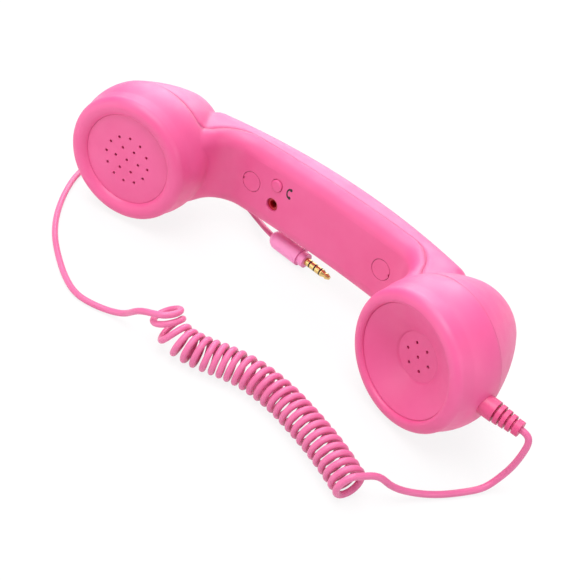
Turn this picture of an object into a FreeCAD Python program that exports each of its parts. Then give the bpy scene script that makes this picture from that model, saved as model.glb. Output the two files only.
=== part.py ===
import FreeCAD
import Part
import Sketcher
import math
import os
from types import SimpleNamespace
from FreeCAD import Placement, Rotation, Vector

# Retro telephone handset for a mobile phone: a two-shell casing that lies on its side, with an earpiece,
# a mouthpiece, an answer button, and a curly cord that ends in a four-contact plug.
# Millimetres. X runs from the earpiece to the mouthpiece, Y from the grilles to the grip's back, Z up.
# The origin is on the floor, under the middle of the handset.

# Driving dimensions
DIMENSIONS = {
    # Bells: the earpiece and mouthpiece barrels, described by depth behind the rim circle
    "bell_spacing": 152.7,
    "bell_tilt": 13.5,
    "rim_station": -23.49,
    "rim_radius": 28.0,
    "lip_height": 4.4,
    "lip_round": 3.9,
    "insert_clearance": 0.08,
    "waist_radius": 28.6,
    "waist_depth": 3.5,
    "bulge_curve": 26.6,
    "seam_radius": 29.2,
    "seam_depth": 16.5,
    "wall": 2.2,
    "waist_round": 6.0,
    "dome_middle_radius": 24.2,
    "dome_top": 46.0,
    "dome_top_radius": 16.5,
    "dome_lean": 3.1,
    "dome_round": 9.3,
    # Grip between the bells, described by distance behind the rim circles
    "grip_width": 36.5,
    "grip_face": 37.2,
    "grip_face_curve": 510.0,
    "grip_back": 57.0,
    "grip_back_curve": 240.0,
    "grip_end": 72.0,
    "end_round": 9.0,
    "web_foot": 54.0,
    "web_foot_station": 12.0,
    "web_top": 50.9,
    "web_round": 12.0,
    "face_edge_round": 7.0,
    "back_edge_round": 9.0,
    # Split between the two shells
    "split_depth": 6.0,
    "split_round": 18.0,
    "split_rise": 13.5,
    "seam_gap": 0.12,
    # Earpiece
    "grille_lip": 7.8,
    "grille_roll": 2.4,
    "grille_drop": 1.9,
    "grille_flange_inset": 2.8,
    "grille_flange_thickness": 1.4,
    "grille_floor": 1.5,
    "grille_well": 15.5,
    "seat_clearance": 0.15,
    "sound_hole": 0.65,
    "inner_ring": 5.69,
    "outer_ring": 10.45,
    "inner_ring_holes": 6,
    "outer_ring_holes": 12,
    "screen_thickness": 0.3,
    # Speaker
    "gasket_thickness": 1.0,
    "gasket_inner": 15.6,
    "speaker_radius": 18.2,
    "speaker_flange": 1.2,
    "basket_opening": 16.0,
    "basket_foot": 12.5,
    "basket_height": 6.4,
    "basket_wall": 0.9,
    "plate_thickness": 1.2,
    "plate_hole": 4.9,
    "magnet_radius": 8.5,
    "magnet_height": 3.4,
    "pole_radius": 3.4,
    "pole_height": 3.6,
    "diaphragm_radius": 15.3,
    "diaphragm_thickness": 0.4,
    "diaphragm_seat": 0.6,
    "diaphragm_dip": 1.2,
    "surround_radius": 12.0,
    "coil_former_radius": 3.8,
    "coil_former_wall": 0.6,
    "coil_former_length": 3.3,
    # Mouthpiece
    "cup_lip": 5.6,
    "cup_roll": 1.6,
    "cup_brim": 2.7,
    "cup_flange_inset": 0.6,
    "cup_flange_thickness": 1.4,
    "cup_floor_radius": 9.9,
    "cup_floor_depth": 4.1,
    "cup_step": 0.6,
    "cup_floor_thickness": 1.6,
    "cup_wall": 1.8,
    "boot_radius": 6.3,
    "boot_wall": 1.4,
    "boot_length": 5.8,
    "boot_lip": 1.0,
    "boot_mouth": 3.0,
    "boot_socket_wall": 1.1,
    "boot_socket_length": 4.8,
    "capsule_length": 5.5,
    "capsule_clearance": 0.05,
    # Casing screws and their caps
    "screw_reach": 36.4,
    "cap_radius": 4.5,
    "cap_thickness": 1.5,
    "cap_clearance": 0.2,
    "screw_boss_radius": 6.0,
    "screw_boss_length": 8.0,
    "screw_head_radius": 2.7,
    "screw_head_height": 2.2,
    "screw_head_depth": 5.5,
    "screw_radius": 1.25,
    "screw_length": 10.0,
    "screw_clearance": 0.1,
    "post_radius": 3.6,
    "pry_radius": 0.6,
    "pry_depth": 0.5,
    # Answer button, switch and socket on the circuit board
    "control_reach": 23.5,
    "button_side": 5.3,
    "button_radius": 2.75,
    "button_rise": 0.8,
    "button_dome": 0.35,
    "button_flange": 3.6,
    "button_flange_thickness": 1.1,
    "button_stem": 1.6,
    "button_clearance": 0.2,
    "button_travel": 0.4,
    "plunger_gap": 0.17,
    "plunger_radius": 1.75,
    "plunger_height": 1.5,
    "plunger_rise": 0.7,
    "switch_size": 6.0,
    "switch_height": 3.3,
    "socket_side": 4.7,
    "socket_neck_radius": 2.85,
    "socket_recess": 1.0,
    "socket_size": 8.0,
    "socket_bore": 1.8,
    "tip_hole": 2.8,
    "board_station": 49.0,
    "board_thickness": 1.2,
    "board_length": 38.5,
    "board_middle": -12.2,
    "board_width": 23.0,
    "board_screw_radius": 0.9,
    "board_screw_head": 1.9,
    "board_screw_head_height": 1.4,
    "board_screw_length": 3.6,
    "board_post_radius": 2.2,
    "board_screw_reach": 3.0,
    "board_screw_side": 8.0,
    "board_screw_middle": -14.0,
    # Strain relief
    "relief_station": 4.4,
    "relief_collar_radius": 4.2,
    "relief_collar_length": 4.3,
    "relief_collar_sink": 1.5,
    "relief_core": 2.1,
    "relief_ribs": 4,
    "relief_rib_first": 3.95,
    "relief_rib_last": 3.1,
    "relief_rib_width": 1.67,
    "relief_slit": 0.8,
    "relief_nose": 0.75,
    "relief_neck": 3.0,
    "relief_neck_length": 3.0,
    "relief_flange_radius": 4.4,
    "relief_flange_thickness": 2.6,
    "relief_clearance": 0.1,
    "ferrule_radius": 2.4,
    "ferrule_length": 4.0,
    # Cord
    "cord_diameter": 2.6,
    "curl_radius": 5.6,
    "curl_count": 27,
    "wire_diameter": 0.9,
    "wire_spacing": 1.5,
    # Plug
    "plug_reach": -2.7,
    "plug_station": 44.2,
    "plug_turn": -2.5,
    "plug_body_radius": 4.4,
    "plug_body_length": 17.5,
    "plug_tail_radius": 2.2,
    "plug_tail_round": 4.0,
    "plug_collar_radius": 3.5,
    "plug_collar_length": 3.4,
    "plug_radius": 1.75,
    "plug_sleeve_length": 2.4,
    "plug_ring_length": 2.35,
    "plug_insulator": 0.7,
    "plug_tip_length": 4.8,
    "plug_tip_shoulder": 0.54,
    "plug_tip_neck_station": 2.16,
    "plug_tip_neck": 1.15,
    "plug_tip_bulge_station": 3.13,
    "plug_tip_bulge": 1.5,
    "plug_tip_end": 0.8,
}

# Routes of the cord, in the frame of the rim circles' middle: X, Y behind the rims, height above the floor.
# The curls follow the first route from the mouthpiece's end to the standing end.
CURL_ROUTE = [
    (92.0, -46.6, 7.0), (85.5, -43.8, 7.0), (74.0, -39.6, 7.0), (60.5, -36.2, 7.0), (46.5, -33.6, 7.0),
    (32.5, -33.9, 7.0), (22.0, -37.2, 7.0), (13.5, -41.4, 7.0), (3.6, -43.5, 7.0), (-3.2, -43.5, 10.4),
    (-5.8, -43.3, 16.0),
]
HANDSET_ROUTE = [
    (127.4, 4.4, 27.7), (127.7, 4.3, 23.4), (126.9, 4.0, 14.6), (124.8, 3.3, 6.6), (122.6, -1.1, 1.8),
    (119.2, -7.6, 1.35), (113.2, -17.6, 1.35), (107.0, -26.0, 2.6), (101.2, -34.2, 6.4),
]
PLUG_ROUTE = [
    (-20.6, -48.4, 5.0), (-27.6, -49.2, 1.7), (-34.4, -51.8, 1.35), (-43.0, -53.6, 1.35),
    (-53.6, -50.4, 1.35), (-66.6, -43.4, 1.35), (-78.4, -35.6, 1.35), (-89.4, -25.4, 1.35), (-100.6, -11.4, 1.35),
    (-109.6, 3.4, 1.35), (-114.4, 19.4, 1.35), (-111.2, 34.6, 1.35), (-100.4, 45.4, 1.35), (-86.0, 51.8, 1.35),
    (-70.6, 55.2, 1.35), (-54.0, 58.0, 1.35), (-40.0, 52.6, 1.6),
]
# Routes inside the casing, with heights measured from the bells' axes
TAIL_ROUTE = [
    (88.4, 13.0, -4.1), (78.0, 24.0, -8.1), (66.0, 34.4, -9.0), (53.0, 42.6, -9.0),
    (40.0, 46.6, -8.7), (26.0, 47.4, -7.3), (14.0, 47.55, -2.7), (5.0, 47.55, -0.3),
]
MICROPHONE_WIRE_ROUTE = [
    (77.4, 27.6, 4.3), (65.0, 38.0, 8.8), (51.0, 44.4, 8.9), (38.0, 46.6, 8.9),
    (24.0, 47.8, 8.3), (11.0, 48.4, 5.7), (4.0, 48.4, 4.3),
]
SPEAKER_WIRE_ROUTE = [
    (-66.4, 27.4, -4.7), (-56.6, 38.4, -8.8), (-45.0, 45.0, -9.0), (-34.0, 47.8, -9.3),
    (-27.0, 48.4, -10.1),
]

# Shape constants of the curls, the cord's runs and the screw heads, and limits for picking edges
PITCH_OPEN = 3.5
PITCH_TIGHT = 3.08
TIGHT_FROM = 0.52
OPEN_TO = 0.68
AXIS_STEPS = 1200
QUARTERS = 4
ARC_SHARE = 0.45
COIL_RUN = 2
WIRE_RUN = 6
START_PHASE = 0.2
END_PHASE = 0.5
GAP_SAMPLES = 6
GAP_TURNS = 4
CROWN_SHARE = 0.7
UPRIGHT = 0.9
FULL_TURN = 360.0
FAR = 130.0
MARGIN = 1.0

doc = FreeCAD.newDocument("Handset")
sheet = doc.addObject("Spreadsheet::Sheet", "sizes")
for row, (name, value) in enumerate(DIMENSIONS.items(), start=1):
    sheet.set(f"A{row}", name)
    sheet.set(f"B{row}", str(value))
    sheet.setAlias(f"B{row}", name)
doc.recompute()


class Size:
    """A number together with the sheet expression that gives it."""

    def __init__(self, value, text):
        self.value = float(value)
        self.text = text

    def __float__(self):
        return self.value

    def __neg__(self):
        return Size(-self.value, f"(-{self.text})")

    def __add__(self, other):
        other = sized(other)
        return Size(self.value + other.value, f"({self.text} + {other.text})")

    def __sub__(self, other):
        other = sized(other)
        return Size(self.value - other.value, f"({self.text} - {other.text})")

    def __mul__(self, other):
        other = sized(other)
        return Size(self.value * other.value, f"({self.text} * {other.text})")

    def __truediv__(self, other):
        other = sized(other)
        return Size(self.value / other.value, f"({self.text} / {other.text})")

    __radd__ = __add__
    __rmul__ = __mul__


def sized(number):
    return number if isinstance(number, Size) else Size(number, repr(float(number)))


def root(size):
    return Size(math.sqrt(size.value), f"sqrt({size.text})")


ZERO = Size(0, "0")
D = SimpleNamespace(**{name: Size(sheet.get(name), f"sizes.{name}") for name in DIMENSIONS})


# Sketches, bodies and booleans
def draw(body, role, corners, arcs):
    """Closed outline in one of the body's planes; every corner is held by two bound distances."""
    sketch = body.newObject("Sketcher::SketchObject", "Outline")
    plane = next(feature for feature in body.Origin.OriginFeatures if feature.Role == role)
    sketch.AttachmentSupport = [(plane, "")]
    sketch.MapMode = "FlatFace"
    points = [Vector(float(x), float(y), 0) for x, y in corners]
    ends = []
    for index, start in enumerate(points):
        stop = points[(index + 1) % len(points)]
        if index in arcs:
            ends.append(draw_arc(sketch, start, stop, *arcs[index]))
        else:
            sketch.addGeometry(Part.LineSegment(start, stop))
            ends.append((1, 2))
    for index, (x, y) in enumerate(corners):
        following = (index + 1) % len(corners)
        meet = (index, ends[index][1], following, ends[following][0])
        sketch.addConstraint(Sketcher.Constraint("Coincident", *meet))
        for direction, size in (("DistanceX", x), ("DistanceY", y)):
            hold = Sketcher.Constraint(direction, -1, 1, index, ends[index][0], float(size))
            bind(sketch, hold, size)
    for index, (radius, _) in arcs.items():
        bind(sketch, Sketcher.Constraint("Radius", index, float(radius)), radius)
    return sketch


def draw_arc(sketch, start, stop, radius, side):
    """Arc from start to stop; side is 1 where it turns left, -1 where it turns right."""
    chord = stop - start
    square = Vector(-chord.y, chord.x, 0).normalize()
    centre = (start + stop) * 0.5 + square * (side * math.sqrt(float(radius) ** 2 - (chord.Length / 2) ** 2))
    first, last = (start, stop) if side > 0 else (stop, start)
    angles = [math.atan2(p.y - centre.y, p.x - centre.x) for p in (first, last)]
    if angles[1] < angles[0]:
        angles[1] += 2 * math.pi
    sketch.addGeometry(Part.ArcOfCircle(Part.Circle(centre, Vector(0, 0, 1), float(radius)), *angles))
    return (1, 2) if side > 0 else (2, 1)


def bind(sketch, constraint, size):
    index = sketch.addConstraint(constraint)
    sketch.setExpression(f"Constraints[{index}]", size.text)


def new_body(label, place):
    body = doc.addObject("PartDesign::Body", "Body")
    body.Label = label
    body.Placement = place
    return body


def turned(label, corners, place, arcs=None):
    """Turned piece: corners are (radius, height along the axis)."""
    body = new_body(label, place)
    sketch = draw(body, "XZ_Plane", corners, arcs or {})
    turn = body.newObject("PartDesign::Revolution", "Turn")
    turn.Profile = sketch
    turn.ReferenceAxis = (sketch, ["V_Axis"])
    turn.Angle = FULL_TURN
    doc.recompute()
    return body


def padded(label, corners, thickness, place, arcs=None):
    """Plate with its outline in the body's XY plane, half its thickness on each side of it."""
    body = new_body(label, place)
    sketch = draw(body, "XY_Plane", corners, arcs or {})
    pad = body.newObject("PartDesign::Pad", "Pad")
    pad.Profile = sketch
    pad.SideType = "Symmetric"
    pad.setExpression("Length", thickness.text)
    doc.recompute()
    return body


def rounded(body, radius, wanted):
    """Fillet on those edges of the body whose own test says so."""
    feature = body.Tip
    names = [f"Edge{n}" for n, edge in enumerate(feature.Shape.Edges, start=1) if wanted(edge)]
    fillet = body.newObject("PartDesign::Fillet", "Round")
    fillet.Base = (feature, names)
    fillet.setExpression("Radius", radius.text)
    doc.recompute()


def pierced(body, ring, count, hole):
    """Round holes through the body along its axis, evenly spaced on a ring."""
    sketch = body.newObject("Sketcher::SketchObject", "Hole")
    plane = next(feature for feature in body.Origin.OriginFeatures if feature.Role == "XY_Plane")
    sketch.AttachmentSupport = [(plane, "")]
    sketch.MapMode = "FlatFace"
    sketch.addGeometry(Part.Circle(Vector(float(ring), 0, 0), Vector(0, 0, 1), float(hole)))
    bind(sketch, Sketcher.Constraint("DistanceX", -1, 1, 0, 3, float(ring)), ring)
    bind(sketch, Sketcher.Constraint("DistanceY", -1, 1, 0, 3, 0), ZERO)
    bind(sketch, Sketcher.Constraint("Radius", 0, float(hole)), hole)
    pocket = body.newObject("PartDesign::Pocket", "Pierce")
    pocket.Profile = sketch
    pocket.SideType = "Symmetric"
    pocket.Type = "ThroughAll"
    doc.recompute()
    if float(count) > 1:
        pattern = body.newObject("PartDesign::PolarPattern", "Ring")
        pattern.Originals = [pocket]
        axis = next(feature for feature in body.Origin.OriginFeatures if feature.Role == "Z_Axis")
        pattern.Axis = (axis, [""])
        pattern.Angle = FULL_TURN
        pattern.setExpression("Occurrences", count.text)
        body.Tip = pattern
        doc.recompute()


def cylinder(label, radius, height, place):
    rod = doc.addObject("Part::Cylinder", "Rod")
    rod.Label = label
    rod.setExpression("Radius", radius.text)
    rod.setExpression("Height", height.text)
    rod.Placement = place
    return rod


def block(label, length, width, height, place):
    """Box centred on its place across, standing on it along its own Z."""
    box = doc.addObject("Part::Box", "Block")
    box.Label = label
    for side, size in (("Length", length), ("Width", width), ("Height", height)):
        box.setExpression(side, size.text)
    box.Placement = place * Placement(Vector(-float(length) / 2, -float(width) / 2, 0), Rotation())
    return box


def cut(label, base, *tools):
    for tool in tools:
        result = doc.addObject("Part::Cut", "Cut")
        result.Base = base
        result.Tool = tool
        result.Refine = False
        base = result
    base.Label = label
    doc.recompute()
    return base


def fused(label, *shapes):
    result = doc.addObject("Part::MultiFuse", "Fusion")
    result.Shapes = list(shapes)
    result.Refine = False
    result.Label = label
    doc.recompute()
    return result


def common(label, base, tool):
    result = doc.addObject("Part::Common", "Common")
    result.Base = base
    result.Tool = tool
    result.Refine = False
    result.Label = label
    doc.recompute()
    return result


def group(label, *members):
    result = doc.addObject("Part::Compound", "Group")
    result.Links = list(members)
    result.Label = label
    doc.recompute()
    return result


# Places
tilt = float(D.bell_tilt)
chord = Vector(float(D.seam_radius - D.waist_radius), float(D.seam_depth - D.waist_depth), 0)
sag = math.sqrt(float(D.bulge_curve) ** 2 - (chord.Length / 2) ** 2)
middle_radius = float(D.waist_radius + D.seam_radius) / 2
AXIS_HEIGHT = middle_radius - sag * chord.y / chord.Length + float(D.bulge_curve)
BACKWARDS = Rotation(Vector(1, 0, 0), -90)
OUTWARDS = Rotation(Vector(0, 1, 0), 90)


def bell_place(side):
    """The bell's own frame: Z runs along its axis, from the rim circle towards the back."""
    turn = Rotation(Vector(0, 0, 1), -side * tilt)
    middle = Vector(side * float(D.bell_spacing) / 2, float(D.rim_station), AXIS_HEIGHT)
    return Placement(middle, turn * BACKWARDS)


def grip_place(reach, station, side):
    """A place in the grip, with its Z pointing to the grip's back."""
    spot = Vector(float(reach), float(D.rim_station) + float(station), AXIS_HEIGHT + float(side))
    return Placement(spot, BACKWARDS)


def along(place, distance):
    return place * Placement(Vector(0, 0, float(distance)), Rotation())


def routed(points, floor=0.0):
    return [Vector(x, y + float(D.rim_station), floor + height) for x, y, height in points]


def arc_drop(curve, reach):
    return curve - root(curve * curve - reach * reach)


def face_station(reach):
    return D.grip_face - arc_drop(D.grip_face_curve, reach)


def back_station(reach):
    return D.grip_back - arc_drop(D.grip_back_curve, reach)


MID_PLANE = Placement(Vector(0, float(D.rim_station), AXIS_HEIGHT), Rotation())
EAR = bell_place(-1)
MOUTH = bell_place(1)


# Casing forms: the same bodies make the outside, and, set in by the wall, the hollow
def grip_form(label, inset):
    top = D.web_top + inset
    foot = D.web_foot + inset
    low = D.web_foot_station + inset
    end = D.grip_end - inset
    face = D.grip_face + inset - arc_drop(D.grip_face_curve + inset, top)
    back = D.grip_back - inset - arc_drop(D.grip_back_curve - inset, end)
    corners = [(-end, low), (-foot, low), (-top, face), (top, face),
               (foot, low), (end, low), (end, back), (-end, back)]
    arcs = {2: (D.grip_face_curve + inset, -1), 6: (D.grip_back_curve - inset, 1)}
    body = padded(label, corners, D.grip_width - inset * 2, MID_PLANE, arcs)
    upright = lambda edge: abs(edge.tangentAt(edge.FirstParameter).z) > UPRIGHT
    near = lambda edge: abs(abs(edge.CenterOfMass.x) - float(top)) < MARGIN / 2
    rounded(body, D.web_round + inset, lambda edge: upright(edge) and near(edge))
    high = lambda edge: edge.CenterOfMass.y > float(low) + MARGIN
    last = lambda edge: abs(edge.CenterOfMass.x) > float(end) - MARGIN
    rounded(body, D.end_round - inset, lambda edge: upright(edge) and last(edge) and high(edge))
    outer = float(D.grip_width / 2 - inset)
    flat = lambda edge: abs(abs(edge.CenterOfMass.z) - outer) < MARGIN / 10 and not upright(edge)
    front = lambda edge: edge.CenterOfMass.y < float(face_station(ZERO) + inset) + MARGIN
    inside = lambda edge: abs(edge.CenterOfMass.x) < float(end) - MARGIN and edge.BoundBox.YMax > float(low) + MARGIN
    rounded(body, D.face_edge_round - inset, lambda edge: flat(edge) and front(edge) and inside(edge))
    rear = lambda edge: edge.BoundBox.YMin > float(back - D.end_round) and inside(edge)
    rounded(body, D.back_edge_round - inset, lambda edge: flat(edge) and rear(edge))
    return body


def barrel_form(label, place):
    corners = [
        (ZERO, -D.lip_height), (D.rim_radius - D.lip_round, -D.lip_height),
        (D.rim_radius, D.lip_round - D.lip_height), (D.waist_radius, D.waist_depth),
        (D.seam_radius, D.seam_depth), (ZERO, D.seam_depth),
    ]
    body = turned(label, corners, place, {1: (D.lip_round, 1), 3: (D.bulge_curve, 1)})
    rounded(body, D.waist_round, lambda edge: abs(edge.CenterOfMass.z - float(D.waist_depth)) < MARGIN / 10
            and abs(edge.Length - 2 * math.pi * float(D.waist_radius)) < MARGIN)
    return body


def dome_form(label, side, inset):
    """Bell back: three circles, from the seam to a leaning top, with a rounded edge there."""
    seam = along(bell_place(side), D.seam_depth)
    reach = side * float(D.bell_spacing / 2 + D.dome_lean)
    top = Placement(Vector(reach, float(D.rim_station + D.dome_top - inset), AXIS_HEIGHT), BACKWARDS)
    middle = Placement((seam.Base + top.Base) * 0.5, Rotation(Vector(0, 0, 1), -side * tilt / 2) * BACKWARDS)
    radii = (D.seam_radius, D.dome_middle_radius, D.dome_top_radius)
    cone = doc.addObject("Part::Loft", "Cone")
    cone.Sections = [ring(radius - inset, place) for radius, place in zip(radii, (seam, middle, top))]
    cone.Solid = True
    doc.recompute()
    dome = doc.addObject("Part::Fillet", "Dome")
    dome.Base = cone
    size = float(D.dome_round - inset)
    dome.Edges = [(number, size, size) for number, edge in enumerate(cone.Shape.Edges, start=1)
                  if (edge.CenterOfMass - top.Base).Length < MARGIN]
    dome.Label = label
    doc.recompute()
    return dome


def ring(radius, place):
    circle = doc.addObject("Part::Circle", "Circle")
    circle.setExpression("Radius", radius.text)
    circle.Placement = place
    return circle


grille_radius = D.rim_radius - D.grille_lip
grille_flange = D.rim_radius - D.wall - D.grille_flange_inset
cup_radius = D.rim_radius - D.cup_lip
cup_flange = D.rim_radius - D.wall - D.cup_flange_inset


def bell_hollow(label, insert_radius, roll, place):
    """Hollow of a barrel: a rolled way in for the insert, a shoulder behind it, then the barrel's wall."""
    opening = insert_radius + D.insert_clearance
    crest = D.rim_radius - D.lip_round
    width = crest - opening
    curve = (width * width + roll * roll) / (roll * 2)
    corners = [
        (ZERO, -D.lip_height - MARGIN), (crest, -D.lip_height - MARGIN), (crest, -D.lip_height),
        (opening, roll - D.lip_height), (opening, ZERO),
        (D.rim_radius - D.wall, ZERO), (D.waist_radius - D.wall, D.waist_depth),
        (D.seam_radius - D.wall, D.seam_depth), (ZERO, D.seam_depth),
    ]
    return turned(label, corners, place, {2: (curve, -1)})


def front_zone(label, shift):
    """Everything in front of the split: square to the bells' axes there, and along the grip's inner face."""
    lean = math.tan(math.radians(tilt))
    seam_reach = float(D.bell_spacing) / 2 + float(D.seam_depth) * math.sin(math.radians(tilt))
    seam_station = float(D.seam_depth) * math.cos(math.radians(tilt))
    seam_line = lambda reach: seam_station + (seam_reach - reach) * lean
    corner = D.web_top + D.split_depth
    foot = D.web_foot + D.split_depth
    low = face_station(D.web_top) + D.split_depth - D.split_rise
    high = face_station(corner - D.split_rise) + D.split_depth
    edge = sized(seam_line(float(foot)))
    far = sized(FAR)
    outer = sized(seam_line(FAR))
    shifted = lambda station: station + shift
    right = [(corner - D.split_rise, shifted(high)), (corner, shifted(low)),
             (foot, shifted(edge)), (far, shifted(outer))]
    left = [(-x, y) for x, y in reversed(right)]
    corners = right + [(far, -far), (-far, -far)] + left
    arcs = {0: (D.split_round, -1), 8: (D.split_round, -1), 9: (D.grip_face_curve + D.split_depth, -1)}
    return padded(label, corners, far, MID_PLANE, arcs)


def screw_places(station):
    return [grip_place(side * float(D.screw_reach), station, 0) for side in (-1, 1)]


def board_places(station):
    spots = [(D.board_screw_reach, D.board_screw_side), (D.board_screw_reach, -D.board_screw_side),
             (D.board_screw_middle, ZERO)]
    return [grip_place(reach, station, side) for reach, side in spots]


screw_face = face_station(D.screw_reach)
control_face = face_station(D.control_reach)
grip_outside = grip_form("grip_outside", ZERO)
grip_inside = grip_form("grip_inside", D.wall)
ear_barrel = barrel_form("ear_barrel", EAR)
mouth_barrel = barrel_form("mouth_barrel", MOUTH)
outside = fused("outside", grip_outside, ear_barrel, mouth_barrel,
                dome_form("ear_dome", -1, ZERO), dome_form("mouth_dome", 1, ZERO))
inside = fused("inside", grip_inside, bell_hollow("ear_hollow", grille_radius, D.grille_roll, EAR),
               bell_hollow("mouth_hollow", cup_radius, D.cup_roll, MOUTH),
               dome_form("ear_dome_hollow", -1, D.wall), dome_form("mouth_dome_hollow", 1, D.wall))
zone = front_zone("front_zone", ZERO)
back_limit = front_zone("back_limit", D.seam_gap)

# Strain relief's place: its axis runs along X, from the bell's surface outwards
lean_sine = math.sin(math.radians(tilt))
lean_cosine = math.cos(math.radians(tilt))
relief_depth = (float(D.relief_station) + AXIS_HEIGHT * lean_sine) / lean_cosine
relief_start = float(D.bell_spacing) / 2 + relief_depth * lean_sine + AXIS_HEIGHT * lean_cosine
relief_length = D.relief_collar_length + (D.relief_slit + D.relief_rib_width) * D.relief_ribs + D.relief_nose
relief_back = D.relief_neck_length + D.relief_flange_thickness
RELIEF = Placement(Vector(relief_start, float(D.rim_station + D.relief_station), AXIS_HEIGHT), OUTWARDS)


def front_shell():
    bosses = [cylinder("screw_boss", D.screw_boss_radius, D.screw_boss_length, place)
              for place in screw_places(screw_face)]
    bosses = [common("screw_boss", boss, grip_outside) for boss in bosses]
    shell = cut("front_wall", common("front_form", outside, zone), inside)
    shell = fused("front_bossed", shell, *bosses)
    tools = []
    slack = D.screw_clearance
    for place in screw_places(screw_face):
        front = along(place, -MARGIN)
        tools.append(cylinder("cap_seat", D.cap_radius + D.cap_clearance, D.cap_thickness + MARGIN, front))
        tools.append(cylinder("head_seat", D.screw_head_radius + slack, D.screw_head_depth, place))
        tools.append(cylinder("screw_way", D.screw_radius + slack, D.screw_boss_length + MARGIN, place))
    button = grip_place(-D.control_reach, control_face, D.button_side)
    socket = grip_place(-D.control_reach, control_face, -D.socket_side)
    depth = D.wall + MARGIN * 2
    neck = D.socket_neck_radius + D.seat_clearance
    tools.append(cylinder("button_way", D.button_radius + D.button_clearance, depth, along(button, -MARGIN)))
    tools.append(cylinder("socket_way", neck, depth, along(socket, -MARGIN)))
    tools.append(cylinder("relief_way", D.relief_neck + D.relief_clearance, relief_back + MARGIN,
                          along(RELIEF, -relief_back)))
    return cut("front_shell", shell, *tools)


def back_shell():
    shell = cut("back_wall", outside, inside, back_limit)
    top = screw_face + D.screw_boss_length + D.seam_gap
    posts = []
    depth = D.screw_length - D.screw_boss_length + D.screw_head_depth
    for place in screw_places(top):
        post = cylinder("post", D.post_radius, back_station(D.screw_reach) - D.wall / 2 - top, place)
        bore = cylinder("post_bore", D.screw_radius + D.screw_clearance / 2, depth, place)
        posts.append(cut("post", post, bore))
    board_back = D.board_station + D.board_thickness
    for place in board_places(board_back):
        reach = sized(abs(place.Base.x))
        height = back_station(reach) - D.wall / 2 - board_back
        post = cylinder("board_post", D.board_post_radius, height, place)
        bore = cylinder("board_bore", D.board_screw_radius + D.screw_clearance / 2,
                        D.board_screw_length - D.board_thickness, place)
        posts.append(cut("board_post", post, bore))
    return fused("back_shell", shell, *posts)


# Casing screws and their caps
def screw(label, place, head, head_height, shank, length):
    """Pan-head screw: the place is under its head, and its Z runs along the shank."""
    corners = [(ZERO, -head_height), (head * CROWN_SHARE, -head_height), (head, -head_height / 2), (head, ZERO),
               (shank, ZERO), (shank, length - shank), (ZERO, length)]
    return turned(label, corners, place)


def shell_screws():
    seats = screw_places(screw_face + D.screw_head_depth)
    return group("shell_screws", *[screw("shell_screw", seat, D.screw_head_radius, D.screw_head_height,
                                         D.screw_radius, D.screw_length) for seat in seats])


def screw_caps():
    caps = []
    for place, side in zip(screw_places(screw_face), (-1, 1)):
        blank = cylinder("cap_blank", D.cap_radius, D.cap_thickness + MARGIN, along(place, -MARGIN))
        cap = common("cap", blank, grip_outside)
        notch = place * Placement(Vector(side * float(D.cap_radius), 0, -MARGIN), Rotation())
        caps.append(cut("cap", cap, cylinder("pry_notch", D.pry_radius, D.pry_depth + MARGIN, notch)))
    return group("screw_caps", *caps)


# Earpiece: grille, cloth screen and speaker
def earpiece_grille():
    corners = [
        (ZERO, -D.grille_drop), (grille_radius, -D.grille_drop), (grille_radius, ZERO), (grille_flange, ZERO),
        (grille_flange, D.grille_flange_thickness), (D.grille_well, D.grille_flange_thickness),
        (D.grille_well, D.grille_floor - D.grille_drop), (ZERO, D.grille_floor - D.grille_drop),
    ]
    body = turned("earpiece_grille", corners, EAR)
    pierced(body, ZERO, sized(1), D.sound_hole)
    pierced(body, D.inner_ring, D.inner_ring_holes, D.sound_hole)
    pierced(body, D.outer_ring, D.outer_ring_holes, D.sound_hole)
    return body


def ear_screen():
    radius = D.grille_well - D.seat_clearance
    return cylinder("ear_screen", radius, D.screen_thickness, along(EAR, D.grille_floor - D.grille_drop))


gasket_top = D.grille_flange_thickness
speaker_top = gasket_top + D.gasket_thickness
plate_top = speaker_top + D.basket_height - D.plate_thickness
plate_bottom = speaker_top + D.basket_height


def speaker_gasket():
    corners = [(D.gasket_inner, gasket_top), (D.speaker_radius, gasket_top),
               (D.speaker_radius, speaker_top), (D.gasket_inner, speaker_top)]
    return turned("speaker_gasket", corners, EAR)


def speaker_frame():
    flange = speaker_top + D.speaker_flange
    corners = [
        (D.basket_opening, speaker_top), (D.speaker_radius, speaker_top), (D.speaker_radius, flange),
        (D.basket_opening + D.basket_wall, flange), (D.basket_foot + D.basket_wall, plate_top),
        (D.basket_foot + D.basket_wall, plate_bottom), (D.plate_hole, plate_bottom), (D.plate_hole, plate_top),
        (D.basket_foot, plate_top), (D.basket_opening, flange),
    ]
    return turned("speaker_frame", corners, EAR)


def speaker_magnet():
    corners = [(ZERO, plate_bottom - D.pole_height), (D.pole_radius, plate_bottom - D.pole_height),
               (D.pole_radius, plate_bottom), (D.magnet_radius, plate_bottom),
               (D.magnet_radius, plate_bottom + D.magnet_height), (ZERO, plate_bottom + D.magnet_height)]
    return turned("speaker_magnet", corners, EAR)


former_top = speaker_top + D.diaphragm_seat + D.diaphragm_dip + D.diaphragm_thickness


def speaker_diaphragm():
    rim = speaker_top + D.diaphragm_seat
    dip = rim + D.diaphragm_dip
    former = D.coil_former_radius + D.coil_former_wall
    corners = [
        (ZERO, rim), (D.coil_former_radius, dip), (former, dip), (D.surround_radius, rim), (D.diaphragm_radius, rim),
        (D.diaphragm_radius, rim + D.diaphragm_thickness), (D.surround_radius, rim + D.diaphragm_thickness),
        (former, former_top), (D.coil_former_radius, former_top), (ZERO, rim + D.diaphragm_thickness),
    ]
    return turned("speaker_diaphragm", corners, EAR)


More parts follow.
